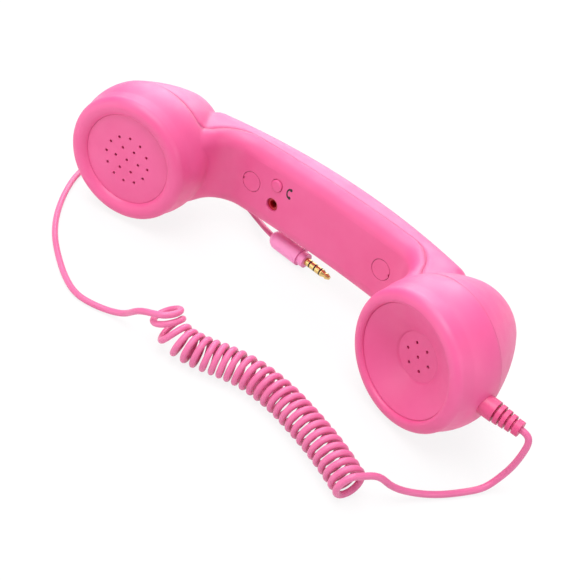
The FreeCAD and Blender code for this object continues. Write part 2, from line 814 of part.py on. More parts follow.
def voice_coil():
    outer = D.coil_former_radius + D.coil_former_wall
    bottom = former_top + D.coil_former_length
    corners = [(D.coil_former_radius, former_top), (outer, former_top), (outer, bottom), (D.coil_former_radius, bottom)]
    return turned("voice_coil", corners, EAR)


# Mouthpiece: conical cup, rubber boot and microphone capsule
cup_back = D.cup_floor_depth + D.cup_floor_thickness


def mouthpiece_cup():
    socket = D.boot_radius + D.capsule_clearance * 2
    step_radius = D.cup_floor_radius + D.cup_step
    step_depth = D.cup_floor_depth - D.cup_step
    brim = cup_radius - D.cup_step / 2
    slope = (brim - step_radius) / (step_depth + D.cup_brim)
    under = step_radius + (cup_back - D.cup_flange_thickness) * slope
    corners = [
        (ZERO, D.cup_floor_depth), (D.cup_floor_radius, D.cup_floor_depth), (step_radius, step_depth),
        (brim, -D.cup_brim), (cup_radius, -D.cup_brim), (cup_radius, ZERO), (cup_flange, ZERO),
        (cup_flange, D.cup_flange_thickness), (under, D.cup_flange_thickness), (step_radius, cup_back),
        (socket + D.boot_socket_wall, cup_back), (socket + D.boot_socket_wall, cup_back + D.boot_socket_length),
        (socket, cup_back + D.boot_socket_length), (socket, cup_back), (ZERO, cup_back),
    ]
    body = turned("mouthpiece_cup", corners, MOUTH)
    pierced(body, ZERO, sized(1), D.sound_hole)
    pierced(body, D.inner_ring, D.inner_ring_holes, D.sound_hole)
    return body


def microphone_boot():
    inner = D.boot_radius - D.boot_wall
    lip = cup_back + D.boot_lip
    end = cup_back + D.boot_length
    corners = [(D.boot_mouth, cup_back), (D.boot_radius, cup_back), (D.boot_radius, end), (inner, end),
               (inner, lip), (D.boot_mouth, lip)]
    return turned("microphone_boot", corners, MOUTH)


def microphone_capsule():
    radius = D.boot_radius - D.boot_wall - D.capsule_clearance
    return cylinder("microphone_capsule", radius, D.capsule_length, along(MOUTH, cup_back + D.boot_lip))


# Circuit board with the switch and the socket
def circuit_board():
    place = grip_place(D.board_middle, D.board_station, 0)
    board = block("board_blank", D.board_length, D.board_width, D.board_thickness, place)
    tools = [cylinder("board_hole", D.board_screw_radius + D.screw_clearance, D.board_thickness, seat)
             for seat in board_places(D.board_station)]
    socket = grip_place(-D.control_reach, D.board_station, -D.socket_side)
    tools.append(cylinder("tip_hole", D.tip_hole, D.board_thickness, socket))
    return cut("circuit_board", board, *tools)


def board_screws():
    seats = board_places(D.board_station)
    return group("board_screws", *[screw("board_screw", seat, D.board_screw_head, D.board_screw_head_height,
                                         D.board_screw_radius, D.board_screw_length) for seat in seats])


plunger_top = D.board_station - D.switch_height - D.plunger_rise


def switch_body():
    place = grip_place(-D.control_reach, D.board_station - D.switch_height, D.button_side)
    body = block("switch_blank", D.switch_size, D.switch_size, D.switch_height, place)
    well = cylinder("plunger_well", D.plunger_radius + D.screw_clearance,
                    D.plunger_height - D.plunger_rise + D.button_travel, place)
    return cut("switch_body", body, well)


def switch_plunger():
    place = grip_place(-D.control_reach, plunger_top, D.button_side)
    return cylinder("switch_plunger", D.plunger_radius, D.plunger_height, place)


def answer_button():
    place = grip_place(-D.control_reach, control_face, D.button_side)
    seat = D.wall + D.screw_clearance + D.screw_clearance
    foot = plunger_top - D.plunger_gap - control_face
    corners = [
        (ZERO, -D.button_rise), (D.button_radius - D.button_dome * 2, -D.button_rise),
        (D.button_radius, D.button_dome - D.button_rise), (D.button_radius, seat), (D.button_flange, seat),
        (D.button_flange, seat + D.button_flange_thickness), (D.button_stem, seat + D.button_flange_thickness),
        (D.button_stem, foot), (ZERO, foot),
    ]
    return turned("answer_button", corners, place)


def jack_socket():
    place = grip_place(-D.control_reach, control_face, -D.socket_side)
    front = D.wall + D.seat_clearance * 2
    depth = D.board_station - control_face
    body = block("socket_block", D.socket_size, D.socket_size, depth - front, along(place, front))
    neck = cylinder("socket_neck", D.socket_neck_radius, front - D.socket_recess, along(place, D.socket_recess))
    bore = cylinder("socket_bore", D.socket_bore, depth + MARGIN, place)
    return cut("jack_socket", fused("socket_solid", body, neck), bore)


# Strain relief, its ferrule, and the plug
def strain_relief(wall):
    """Collar and inner flange trimmed to the casing wall, a neck through it, and ribs that shrink outwards."""
    collar = turned("relief_collar", [(ZERO, -D.relief_collar_sink),
                                      (D.relief_collar_radius, -D.relief_collar_sink),
                                      (D.relief_collar_radius, D.relief_collar_length),
                                      (ZERO, D.relief_collar_length)], RELIEF)
    flange_end = -D.relief_neck_length - D.relief_flange_thickness
    corners = [(ZERO, flange_end), (D.relief_flange_radius, flange_end),
               (D.relief_flange_radius, -D.relief_neck_length), (D.relief_neck, -D.relief_neck_length),
               (D.relief_neck, D.relief_collar_length), (D.relief_core, D.relief_collar_length)]
    taper = (D.relief_rib_first - D.relief_rib_last) / (D.relief_ribs - 1)
    for rib in range(int(float(D.relief_ribs))):
        start = D.relief_collar_length + D.relief_slit + (D.relief_rib_width + D.relief_slit) * rib
        radius = D.relief_rib_first - taper * rib
        last = rib == int(float(D.relief_ribs)) - 1
        stop = start + D.relief_rib_width + (D.relief_nose if last else ZERO)
        foot = ZERO if last else D.relief_core
        corners += [(D.relief_core, start), (radius, start), (radius, stop), (foot, stop)]
    ribs = turned("relief_ribs", corners, RELIEF)
    return cut("strain_relief", fused("relief_blank", collar, ribs), wall)


def cord_anchor():
    start = -relief_back - D.ferrule_length
    inner = D.cord_diameter / 2 + D.capsule_clearance
    corners = [(inner, start), (D.ferrule_radius, start), (D.ferrule_radius, -relief_back), (inner, -relief_back)]
    return turned("cord_anchor", corners, RELIEF)


plug_turn = Rotation(Vector(0, 0, 1), float(D.plug_turn))
PLUG = Placement(Vector(float(D.plug_reach), float(D.rim_station + D.plug_station), float(D.plug_body_radius)),
                 plug_turn * OUTWARDS)


def plug_pieces():
    """Plug parts in order from the body to the tip; the place is the foot of the gold barrel."""
    tail = -D.plug_collar_length - D.plug_body_length
    front = -D.plug_collar_length
    swell = D.plug_body_radius - D.plug_tail_radius
    curve = (swell * swell + D.plug_tail_round * D.plug_tail_round) / (swell * 2)
    corners = [(ZERO, tail), (D.plug_tail_radius, tail), (D.plug_body_radius, tail + D.plug_tail_round),
               (D.plug_body_radius, front), (ZERO, front)]
    body = turned("plug_body", corners, PLUG, {1: (curve, 1)})
    collar = cylinder("plug_collar", D.plug_collar_radius, D.plug_collar_length, along(PLUG, front))
    sleeve = cylinder("plug_sleeve", D.plug_radius, D.plug_sleeve_length, PLUG)
    station = D.plug_sleeve_length
    rings = []
    insulators = []
    for name in ("plug_ring_back", "plug_ring_front"):
        insulators.append(cylinder("insulator", D.plug_radius, D.plug_insulator, along(PLUG, station)))
        station = station + D.plug_insulator
        rings.append(cylinder(name, D.plug_radius, D.plug_ring_length, along(PLUG, station)))
        station = station + D.plug_ring_length
    insulators.append(cylinder("insulator", D.plug_radius, D.plug_insulator, along(PLUG, station)))
    station = station + D.plug_insulator
    end = station + D.plug_tip_length
    corners = [(ZERO, station), (D.plug_radius, station), (D.plug_radius, station + D.plug_tip_shoulder),
               (D.plug_tip_neck, station + D.plug_tip_neck_station),
               (D.plug_tip_bulge, station + D.plug_tip_bulge_station), (D.plug_tip_end, end), (ZERO, end)]
    tip = turned("plug_tip", corners, PLUG)
    return [body, collar, sleeve, *rings, tip, group("plug_insulators", *insulators)]


# Cords and wires
def tube(label, points, diameter):
    """Round tube along straight runs joined by tangent arcs, each as large as its two runs allow."""
    edges = []
    radii = []
    here = points[0]
    for before, corner, after in zip(points, points[1:], points[2:]):
        run_in = corner - before
        run_out = after - corner
        reach = ARC_SHARE * min(run_in.Length, run_out.Length)
        half_turn = run_in.getAngle(run_out) / 2
        radii.append(reach / math.tan(half_turn))
        start = corner - run_in.normalize() * reach
        stop = corner + run_out.normalize() * reach
        bisector = ((start + stop) * 0.5 - corner).normalize()
        middle = corner + bisector * (radii[-1] / math.cos(half_turn) - radii[-1])
        edges.append(Part.LineSegment(here, start).toShape())
        edges.append(Part.Arc(start, middle, stop).toShape())
        here = stop
    edges.append(Part.LineSegment(here, points[-1]).toShape())
    solid = swept(edges, diameter)
    print(label, "radii", [round(radius, 1) for radius in radii])
    return shaped(label, solid)


def swept(edges, diameter):
    spine = Part.Wire(edges)
    start = edges[0].valueAt(edges[0].FirstParameter)
    heading = edges[0].tangentAt(edges[0].FirstParameter)
    section = Part.Wire([Part.Circle(start, heading, float(diameter) / 2).toShape()])
    solid = spine.makePipeShell([section], True, False)
    expected = math.pi * (float(diameter) / 2) ** 2 * spine.Length
    print("length", round(spine.Length, 1), "volume share", round(solid.Volume / expected, 4))
    return solid


def shaped(label, shape):
    feature = doc.addObject("Part::Feature", "Cord")
    feature.Shape = shape
    feature.Label = label
    return feature


def curl_axis():
    """Points along the curls' axis, with the frame carried along it and the phase of the curls."""
    poles = routed(CURL_ROUTE)
    curve = Part.BSplineCurve()
    inner = len(poles) - 3
    knots = list(range(inner + 2))
    curve.buildFromPolesMultsKnots(poles, [3] + [1] * inner + [3], knots, False, 2)
    length = curve.length()
    stations = [length * n / AXIS_STEPS for n in range(AXIS_STEPS + 1)]
    places = [curve.parameterAtDistance(station, curve.FirstParameter) for station in stations]
    points = [curve.value(place) for place in places]
    tangents = [curve.tangent(place)[0] for place in places]
    side = tangents[0].cross(Vector(0, 0, 1)).normalize()
    sides = []
    rates = []
    for n, tangent in enumerate(tangents):
        side = (side - tangent * side.dot(tangent)).normalize()
        sides.append(side)
        share = n / AXIS_STEPS
        ease = min(max((share - TIGHT_FROM) / (OPEN_TO - TIGHT_FROM), 0), 1)
        pitch = PITCH_OPEN + (PITCH_TIGHT - PITCH_OPEN) * ease
        bend = tangents[min(n + 1, AXIS_STEPS)].getAngle(tangents[max(n - 1, 0)])
        bend = bend / (length / AXIS_STEPS * (2 if 0 < n < AXIS_STEPS else 1))
        rates.append((1 - bend * float(D.curl_radius)) / pitch)
    phases = [0.0]
    for before, after in zip(rates, rates[1:]):
        phases.append(phases[-1] + (before + after) / 2 * length / AXIS_STEPS)
    turns = float(D.curl_count) + END_PHASE - START_PHASE
    print("curls by pitch", round(phases[-1], 2), "set to", turns)
    return points, tangents, sides, [START_PHASE + phase * turns / phases[-1] for phase in phases]


def curl_points(points, tangents, sides, phases):
    """Points and headings of the curl at every quarter turn."""
    radius = float(D.curl_radius)
    count = round((phases[-1] - phases[0]) * QUARTERS)
    found = []
    step = 0
    for quarter in range(count + 1):
        phase = phases[0] + quarter / QUARTERS
        while step < AXIS_STEPS - 1 and phases[step + 1] < phase:
            step += 1
        share = min(max((phase - phases[step]) / (phases[step + 1] - phases[step]), 0), 1)
        blend = lambda row: row[step] + (row[step + 1] - row[step]) * share
        tangent = blend(tangents).normalize()
        side = (blend(sides) - tangent * blend(sides).dot(tangent)).normalize()
        rise = side.cross(tangent)
        angle = 2 * math.pi * phase
        out = side * math.cos(angle) + rise * math.sin(angle)
        across = rise * math.cos(angle) - side * math.sin(angle)
        spin = 2 * math.pi * (phases[step + 1] - phases[step]) / (points[step + 1] - points[step]).Length
        found.append((blend(points) + out * radius, (across * (radius * spin) + tangent).normalize()))
    return found


def biarc(start, heading, stop, end_heading):
    """Two arcs that leave start along heading, meet smoothly, and reach stop along end_heading."""
    span = stop - start
    total = heading + end_heading
    slack = 2 * (1 - heading.dot(end_heading))
    reach = (math.sqrt(span.dot(total) ** 2 + slack * span.dot(span)) - span.dot(total)) / slack
    joint = (start + heading * reach + stop - end_heading * reach) * 0.5
    return [arc_from(start, heading, joint), arc_from(stop, -end_heading, joint, True)]


def arc_from(start, heading, stop, backwards=False):
    span = stop - start
    along_span = Vector(span).normalize()
    lean = heading - along_span * heading.dot(along_span)
    angle = heading.getAngle(span)
    middle = (start + stop) * 0.5 + lean.normalize() * (span.Length / 2 * math.tan(angle / 2))
    return Part.Arc(stop, middle, start) if backwards else Part.Arc(start, middle, stop)


def self_gap(edges, diameter):
    """Least gap between stretches of the curl that lie half a turn or more apart along it."""
    points = [edge.valueAt(edge.FirstParameter + (edge.LastParameter - edge.FirstParameter) * n / GAP_SAMPLES)
              for edge in edges for n in range(GAP_SAMPLES)]
    apart = GAP_SAMPLES * QUARTERS
    nearest = min((points[i] - points[j]).Length
                  for i in range(len(points)) for j in range(i + apart, min(i + apart * GAP_TURNS, len(points))))
    return nearest - float(diameter)


def cord_coil():
    found = curl_points(*curl_axis())
    diameter = float(D.cord_diameter)
    first, heading = found[0]
    last, end_heading = found[-1]
    lead_in = first - heading * diameter
    lead_out = last + end_heading * diameter
    curls = []
    for (start, way), (stop, end_way) in zip(found, found[1:]):
        curls += [arc.toShape() for arc in biarc(start, way, stop, end_way)]
    print("cord_coil least gap to itself", round(self_gap(curls, diameter), 2))
    edges = [Part.LineSegment(lead_in, first).toShape()] + curls + [Part.LineSegment(last, lead_out).toShape()]
    return shaped("cord_coil", swept(edges, diameter)), (lead_in, -heading), (lead_out, end_heading)


def cords():
    """The cord's stretches; every first and last run is square to the face that it meets."""
    coil, (right, right_way), (left, left_way) = cord_coil()
    run = D.cord_diameter * COIL_RUN
    leave = [along(RELIEF, relief_length).Base, along(RELIEF, relief_length + D.cord_diameter).Base]
    join = [right + right_way * float(run), right]
    handset_lead = tube("cord_lead_handset", leave + routed(HANDSET_ROUTE) + join, D.cord_diameter)
    leave = [left, left + left_way * float(run)]
    plug_back = -D.plug_collar_length - D.plug_body_length
    join = [along(PLUG, plug_back - D.cord_diameter).Base, along(PLUG, plug_back).Base]
    plug_lead = tube("cord_lead_plug", leave + routed(PLUG_ROUTE) + join, D.cord_diameter)
    leave = [along(RELIEF, -relief_back).Base, along(RELIEF, -relief_back - D.ferrule_length - run / 2).Base]
    cord_tail = tube("cord_tail", leave + routed(TAIL_ROUTE, AXIS_HEIGHT), D.cord_diameter)
    return [coil, handset_lead, plug_lead, cord_tail]


def wire_pair(label, place, route):
    """Two wires side by side; they leave along the place's Z."""
    points = [place.Base, along(place, D.wire_diameter * WIRE_RUN).Base, *routed(route, AXIS_HEIGHT)]
    strands = []
    for side in (-1, 1):
        offset = Vector(0, 0, side * float(D.wire_spacing) / 2)
        strands.append(tube(f"{label}_strand", [point + offset for point in points], D.wire_diameter))
    return group(label, *strands)


def wires():
    capsule_back = along(MOUTH, cup_back + D.boot_lip + D.capsule_length)
    terminal = EAR * Placement(Vector(float(D.magnet_radius + D.wire_diameter * 2), 0, float(plate_bottom)), Rotation())
    return [wire_pair("microphone_wires", capsule_back, MICROPHONE_WIRE_ROUTE),
            wire_pair("speaker_wires", terminal, SPEAKER_WIRE_ROUTE)]


front = front_shell()
pieces = [
    front, back_shell(), shell_screws(), screw_caps(),
    earpiece_grille(), ear_screen(), speaker_gasket(), speaker_frame(), speaker_magnet(), speaker_diaphragm(),
    voice_coil(), mouthpiece_cup(), microphone_boot(), microphone_capsule(),
    circuit_board(), board_screws(), switch_body(), switch_plunger(), answer_button(), jack_socket(),
    strain_relief(front), cord_anchor(), *plug_pieces(), *cords(), *wires(),
]
doc.recompute()

failed = [thing.Label for thing in doc.Objects if "Invalid" in thing.State or "Error" in thing.State]
failed += [piece.Label for piece in pieces if piece.Shape.isNull() or not piece.Shape.isValid()]
if failed:
    raise RuntimeError(f"these did not build: {failed}")

os.makedirs("parts", exist_ok=True)
for piece in pieces:
    piece.Shape.exportStep(f"parts/{piece.Label}.step")
print(len(pieces), "pieces written")
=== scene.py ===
# %% [markdown]
# # A retro telephone handset with a curly cord
#
# The real thing is a moulded handset on a curly cord that ends in a small audio plug. Its casing,
# inserts, strain relief and plug are hard shapes that the CAD frame already holds at their real
# sizes, so they stay as they are and only get a finish here. The cord is flexible, so it is drawn
# again as one smooth line, and a small printed sign is added. Then come the lights and the picture.

import bpy
import math
from mathutils import Matrix, Vector


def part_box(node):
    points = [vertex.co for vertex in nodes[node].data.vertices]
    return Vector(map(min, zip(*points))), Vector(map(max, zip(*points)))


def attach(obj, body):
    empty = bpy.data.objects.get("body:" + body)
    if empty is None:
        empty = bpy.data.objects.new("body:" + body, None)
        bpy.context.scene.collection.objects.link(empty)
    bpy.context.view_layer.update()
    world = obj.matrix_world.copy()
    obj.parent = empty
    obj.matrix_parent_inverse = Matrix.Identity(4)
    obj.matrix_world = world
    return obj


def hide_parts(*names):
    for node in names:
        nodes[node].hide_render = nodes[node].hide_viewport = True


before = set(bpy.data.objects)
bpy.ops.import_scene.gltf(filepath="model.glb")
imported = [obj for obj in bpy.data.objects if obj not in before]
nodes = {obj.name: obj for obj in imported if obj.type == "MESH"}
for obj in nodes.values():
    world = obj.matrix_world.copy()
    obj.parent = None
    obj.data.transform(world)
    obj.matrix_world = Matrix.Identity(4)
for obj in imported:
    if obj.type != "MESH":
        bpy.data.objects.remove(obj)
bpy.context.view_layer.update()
MM = 0.001
RIM_STATION = -23.49
AXIS_HEIGHT = 29.736


def row(x, station, height):
    """A point given by X, by distance behind the rim circles and by height, in millimetres."""
    return Vector((x, station + RIM_STATION, height)) * MM


# %% [markdown]
# ## Camera
#
# The handset lies on its side and is seen from above, from the mouthpiece's end. A camera could be
# aimed with a Track To constraint, but this one is also rolled about its own axis, so its right and
# up directions are given and make its rotation matrix.

# %% Camera
CAMERA_PLACE = (0.176349, -0.299151, 0.259751)
CAMERA_RIGHT = Vector((0.742226, 0.627082, 0.236364))
CAMERA_UP = Vector((-0.539436, 0.349784, 0.765937))
CAMERA_LENS = 62.12
CAMERA_SENSOR = 36.0
CAMERA_NEAR = 0.01
CAMERA_FAR = 20.0

scene = bpy.context.scene
scene.view_settings.view_transform = "Standard"
camera = bpy.data.objects.new("camera", bpy.data.cameras.new("camera"))
scene.collection.objects.link(camera)
scene.camera = camera
camera.data.sensor_width = CAMERA_SENSOR
camera.data.lens = CAMERA_LENS
camera.data.clip_start = CAMERA_NEAR
camera.data.clip_end = CAMERA_FAR
turn = Matrix((CAMERA_RIGHT, CAMERA_UP, CAMERA_RIGHT.cross(CAMERA_UP))).transposed()
camera.matrix_world = Matrix.Translation(CAMERA_PLACE) @ turn.to_4x4()
print("camera at", [round(part, 3) for part in camera.matrix_world.translation])

# %% [markdown]
# ## Cord
#
# One cord runs from the strain relief to the plug. Its two leads lie loosely on the table, and its
# middle is wound into left-handed curls, which lie on their side and stand up at the far end. A
# Screw modifier could wind a straight coil, but this one follows a bent axis. So the axis is drawn
# first, as a smooth NURBS line steered by a few points, and the curls are worked out round that
# line. They become points of the same spline as the leads, because the real cord is one piece.

# %% Cord sizes and routes
CORD_DIAMETER = 2.6 * MM
CURL_RADIUS = 5.6 * MM
CURLS = 27.3
START_PHASE = 0.2
POINTS_PER_TURN = 16
PITCH_OPEN = 3.5 * MM
PITCH_TIGHT = 3.08 * MM
TIGHT_FROM = 0.52
TIGHT_FULLY = 0.68
JOIN_RUN = 3 * CORD_DIAMETER
CURL_ROUTE = [
    row(92.0, -46.6, 7.0), row(85.5, -43.8, 7.0), row(74.0, -39.6, 7.0), row(60.5, -36.2, 7.0),
    row(46.5, -33.6, 7.0), row(32.5, -33.9, 7.0), row(22.0, -37.2, 7.0), row(13.5, -41.4, 7.0),
    row(3.6, -43.5, 7.0), row(-3.2, -43.5, 10.4), row(-5.8, -43.3, 16.0),
]
HANDSET_ROUTE = [
    row(127.4, 4.4, 27.7), row(127.7, 4.3, 23.4), row(126.9, 4.0, 14.6), row(124.8, 3.3, 6.6),
    row(122.6, -1.1, 1.8), row(119.2, -7.6, 1.35), row(113.2, -17.6, 1.35),
    row(107.0, -26.0, 2.6), row(101.2, -34.2, 6.4),
]
PLUG_ROUTE = [
    row(-20.6, -48.4, 5.0), row(-27.6, -49.2, 1.7), row(-34.4, -51.8, 1.35),
    row(-43.0, -53.6, 1.35), row(-53.6, -50.4, 1.35), row(-66.6, -43.4, 1.35),
    row(-78.4, -35.6, 1.35), row(-89.4, -25.4, 1.35), row(-100.6, -11.4, 1.35),
    row(-109.6, 3.4, 1.35), row(-114.4, 19.4, 1.35), row(-111.2, 34.6, 1.35),
    row(-100.4, 45.4, 1.35), row(-86.0, 51.8, 1.35), row(-70.6, 55.2, 1.35),
    row(-54.0, 58.0, 1.35), row(-40.0, 52.6, 1.6),
]
print(len(HANDSET_ROUTE), "points to the handset,", len(PLUG_ROUTE), "to the plug")

# %% Smooth lines
GUIDE_STEPS = 40


def nurbs(name, points, steps):
    """Smooth open curve with the points as its control points."""
    curve = bpy.data.curves.new(name, "CURVE")
    curve.dimensions = "3D"
    curve.resolution_u = steps
    spline = curve.splines.new("NURBS")
    spline.points.add(len(points) - 1)
    for place, point in zip(spline.points, points):
        place.co = (*point, 1.0)
    spline.order_u = 3
    spline.use_endpoint_u = True
    piece = bpy.data.objects.new(name, curve)
    scene.collection.objects.link(piece)
    return piece


def line_of(piece):
    """The points of a curve's own line, in order."""
    mesh = bpy.data.meshes.new_from_object(piece)
    points = [vertex.co.copy() for vertex in mesh.vertices]
    bpy.data.meshes.remove(mesh)
    return points


def length_of(points):
    """Length of the line through the points."""
    return sum((after - before).length for before, after in zip(points, points[1:]))


guide = nurbs("curl_axis", CURL_ROUTE, GUIDE_STEPS)
curl_axis = line_of(guide)
bpy.data.objects.remove(guide)
print("curl axis", round(length_of(curl_axis), 3), "m")

# %% Curls round the axis
BEND_REACH = 4


def curls(axis):
    """Points of the curls round an axis line: closer where it is wound tight, and even on bends."""
    tangents = [(after - before).normalized() for before, after in zip(axis, axis[1:])]
    steps = [(after - before).length for before, after in zip(axis, axis[1:])]
    total = sum(steps)
    side = tangents[0].cross(Vector((0, 0, 1))).normalized()
    sides, rates, walked = [], [], 0.0
    for n, tangent in enumerate(tangents):
        side = (side - tangent * side.dot(tangent)).normalized()
        sides.append(side)
        ease = min(max((walked / total - TIGHT_FROM) / (TIGHT_FULLY - TIGHT_FROM), 0), 1)
        pitch = PITCH_OPEN + (PITCH_TIGHT - PITCH_OPEN) * ease
        before, after = max(n - BEND_REACH, 0), min(n + BEND_REACH, len(tangents) - 1)
        bend = tangents[before].angle(tangents[after]) / sum(steps[before:after])
        rates.append((1 - bend * CURL_RADIUS) / pitch * steps[n])
        walked += steps[n]
    phases = [START_PHASE]
    for rate in rates:
        phases.append(phases[-1] + rate * CURLS / sum(rates))
    # The spline cuts inside its points, so they stand a little further out than the cord.
    reach = CURL_RADIUS / ((1 + math.cos(math.pi / POINTS_PER_TURN)) / 2)
    count = round(CURLS * POINTS_PER_TURN)
    points, n = [], 0
    for k in range(count + 1):
        phase = START_PHASE + CURLS * k / count
        while n < len(tangents) - 1 and phases[n + 1] < phase:
            n += 1
        share = min(max((phase - phases[n]) / (phases[n + 1] - phases[n]), 0), 1)
        angle = 2 * math.pi * phase
        rise = sides[n].cross(tangents[n])
        spoke = sides[n] * math.cos(angle) + rise * math.sin(angle)
        points.append(axis[n].lerp(axis[n + 1], share) + spoke * reach)
    return points


curl_points = curls(curl_axis)
print(CURLS, "curls,", len(curl_points), "points")

# %% The whole cord
RELIEF_STATION = 4.4
PLUG_SHOULDER = row(-2.7, 44.2, 4.4)
PLUG_TURN = math.radians(-2.5)
PLUG_COLLAR_LENGTH = 3.4 * MM
PLUG_BODY_LENGTH = 17.5 * MM
CORD_STEPS = 4
CORD_ROUNDNESS = 4

relief_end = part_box("strain_relief")[1].x
exit_point = Vector((relief_end, (RELIEF_STATION + RIM_STATION) * MM, AXIS_HEIGHT * MM))
plug_axis = Vector((math.cos(PLUG_TURN), math.sin(PLUG_TURN), 0))
plug_back = PLUG_SHOULDER - plug_axis * (PLUG_COLLAR_LENGTH + PLUG_BODY_LENGTH)
start_way = (curl_points[0] - curl_points[1]).normalized()
end_way = (curl_points[-1] - curl_points[-2]).normalized()
cord = nurbs("cord", [
    exit_point, exit_point + Vector((CORD_DIAMETER, 0, 0)), *HANDSET_ROUTE,
    curl_points[0] + start_way * JOIN_RUN, *curl_points, curl_points[-1] + end_way * JOIN_RUN,
    *PLUG_ROUTE, plug_back - plug_axis * CORD_DIAMETER, plug_back,
], CORD_STEPS)
cord_length = length_of(line_of(cord))
# Blender's box round a curve reaches out by the radius of its points, so the points carry the
# cord's radius and the bevel only multiplies it by 1.
for point in cord.data.splines[0].points:
    point.radius = CORD_DIAMETER / 2
cord.data.bevel_depth = 1.0
cord.data.bevel_resolution = CORD_ROUNDNESS
cord.data.use_fill_caps = True
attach(cord, "handset")
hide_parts("cord_lead_handset", "cord_coil", "cord_lead_plug")
print("cord", round(cord_length, 3), "m")

# %% [markdown]
# ## Printed sign
#
# A small black handset is printed beside the answer button: a bow with a round at each end. A
# picture on the surface would do it, but the sign would then be lost with the picture, so it is a
# very thin mesh. A filled circle is inset to leave a ring, the ring is drawn narrower and cut in
# half, and two discs make its ends. The grip is slightly crowned, so a Shrinkwrap modifier lays the
# flat sign on it before Solidify gives the ink its thickness.

# %% Printed sign
SIGN_RADIUS = 2.5 * MM
SIGN_SIDES = 48
SIGN_STROKE = 0.95 * MM
SIGN_NARROW = 0.66
SIGN_END = 0.72 * MM
SIGN_END_SIDES = 24
SIGN_END_PLACE = (0.35 * MM, 1.95 * MM)
SIGN_INK = 0.04 * MM
SIGN_PLACE = row(-16.4, 30.0, AXIS_HEIGHT + 5.2)
FACING = (math.pi / 2, 0, 0)

bpy.ops.object.select_all(action="DESELECT")
bpy.ops.mesh.primitive_circle_add(vertices=SIGN_SIDES, radius=SIGN_RADIUS, fill_type="NGON",
                                  rotation=FACING)
sign = bpy.context.object
sign.name = "button_sign"
bpy.ops.object.transform_apply(location=True, rotation=True, scale=True)
bpy.ops.object.mode_set(mode="EDIT")
bpy.ops.mesh.select_all(action="SELECT")
bpy.ops.mesh.inset(thickness=SIGN_STROKE)
bpy.ops.mesh.delete(type="FACE")
bpy.ops.mesh.select_all(action="SELECT")
bpy.ops.transform.resize(value=(SIGN_NARROW, 1, 1))
bpy.ops.mesh.bisect(plane_co=(0, 0, 0), plane_no=(1, 0, 0), clear_outer=True)
for end in (-1, 1):
    bpy.ops.mesh.primitive_circle_add(
        vertices=SIGN_END_SIDES, radius=SIGN_END, fill_type="NGON", rotation=FACING,
        location=(SIGN_END_PLACE[0], 0, end * SIGN_END_PLACE[1]))
bpy.ops.object.mode_set(mode="OBJECT")
bpy.ops.transform.translate(value=SIGN_PLACE)
bpy.ops.object.transform_apply(location=True, rotation=True, scale=True)
wrap = sign.modifiers.new("lay_on_grip", "SHRINKWRAP")
wrap.target = nodes["front_shell"]
wrap.wrap_method = "PROJECT"
wrap.use_project_y = True
wrap.use_positive_direction = True
ink = sign.modifiers.new("ink", "SOLIDIFY")
ink.thickness = SIGN_INK
ink.offset = 1.0
for step in ("lay_on_grip", "ink"):
    bpy.ops.object.modifier_apply(modifier=step)
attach(sign, "handset")
print("sign", [round(side / MM, 2) for side in sign.dimensions], "mm")

# %% [markdown]
# ## Finishes
#
# Nearly every piece is moulded, and no moulding is one flat colour: its tint and its gloss drift a
# little over the surface, and it has a very fine grain. Image textures could show this, but noise
# in the object's own coordinates needs no unwrapping and is sharp at any distance. Moulded edges
# are never sharp either, so a Bevel node rounds their shading, where a Bevel modifier would change
# the CAD mesh.

# %% Tools for the finishes
NOISE_LOW = 0.35
NOISE_HIGH = 0.65


def linear(red, green, blue):
    """Screen colour, 0 to 255, as linear light."""
    def part(value):
        value /= 255
        return value / 12.92 if value <= 0.04045 else ((value + 0.055) / 1.055) ** 2.4
    return (part(red), part(green), part(blue), 1.0)


def grey(value):
    """Grey of a linear value, as a colour."""
    return (value, value, value, 1.0)


def new_material(name):
    """Material with its nodes, their links and its main shader."""
    material = bpy.data.materials.new(name)
    material.use_nodes = True
    tree = material.node_tree
    return material, tree.nodes, tree.links, tree.nodes["Principled BSDF"]


def mottle(tree_nodes, links, scale, low, high, detail=4.0):
    """Soft noise in the object's own coordinates, as a colour between low and high."""
    place = tree_nodes.new("ShaderNodeTexCoord")
    noise = tree_nodes.new("ShaderNodeTexNoise")
    noise.inputs["Scale"].default_value = scale
    noise.inputs["Detail"].default_value = detail
    links.new(place.outputs["Object"], noise.inputs["Vector"])
    ramp = tree_nodes.new("ShaderNodeValToRGB")
    ramp.color_ramp.elements[0].position = NOISE_LOW
    ramp.color_ramp.elements[0].color = low
    ramp.color_ramp.elements[1].position = NOISE_HIGH
    ramp.color_ramp.elements[1].color = high
    links.new(noise.outputs["Fac"], ramp.inputs["Fac"])
    return ramp


print("screen grey 128 is linear", round(linear(128, 128, 128)[0], 3))

# %% Moulded finish
TINT_SCALE = 45.0
GLOSS_SCALE = 160.0
GLOSS_DRIFT = 0.05
GRAIN_STRENGTH = 0.35
GRAIN_DETAIL = 2.0
EDGE_SAMPLES = 6
SHEEN_ROUGHNESS = 0.5


